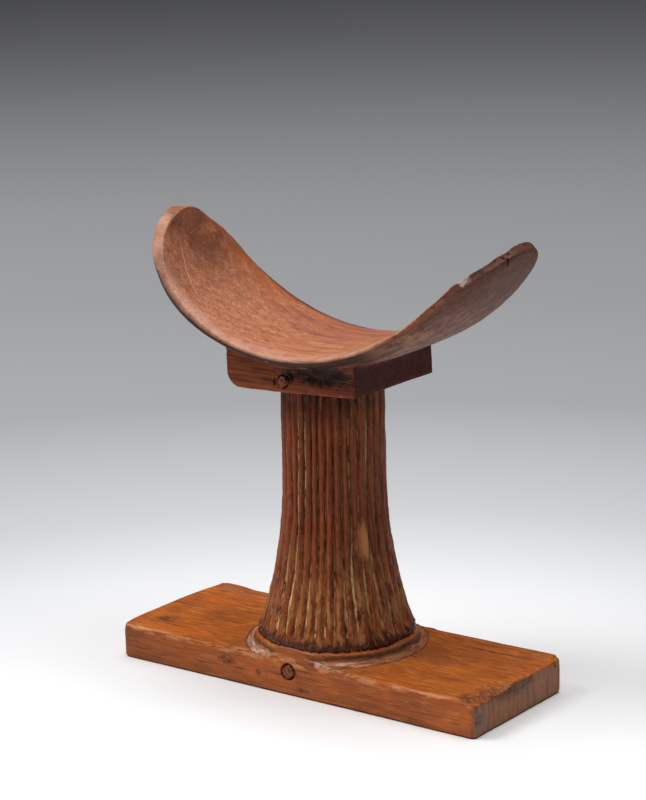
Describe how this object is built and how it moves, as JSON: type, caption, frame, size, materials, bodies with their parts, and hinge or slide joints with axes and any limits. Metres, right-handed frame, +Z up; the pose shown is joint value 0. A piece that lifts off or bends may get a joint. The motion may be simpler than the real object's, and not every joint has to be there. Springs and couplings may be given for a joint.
{
  "type": "headrest",
  "caption": "Carved wooden headrest: a curved neck rest on a block, held up by a fluted column that flares into a raised round seat on a plank foot.",
  "frame": {"origin": "centre of the plank foot's flat underside", "axes": "+Z up; +X along the plank, towards the flatter of the two wings; +Y to the back, away from the pegged faces"},
  "size_m": [0.2111, 0.0752, 0.2171],
  "materials": {
    "foot_wood": "hand-carved, warm orange-brown, worn semi-gloss patina",
    "column_wood": "hand-fluted, deep red-brown, pale pigment left in the flutes",
    "rest_wood": "hand-carved and polished by use, reddish brown",
    "peg_wood": "cut end grain, darker than the wood round it"
  },
  "bodies": {
    "root": {"base_plank": "foot_wood", "column": "column_wood", "neck_rest": "rest_wood", "base_peg": "peg_wood", "neck_rest_peg": "peg_wood"}
  },
  "joints": []
}
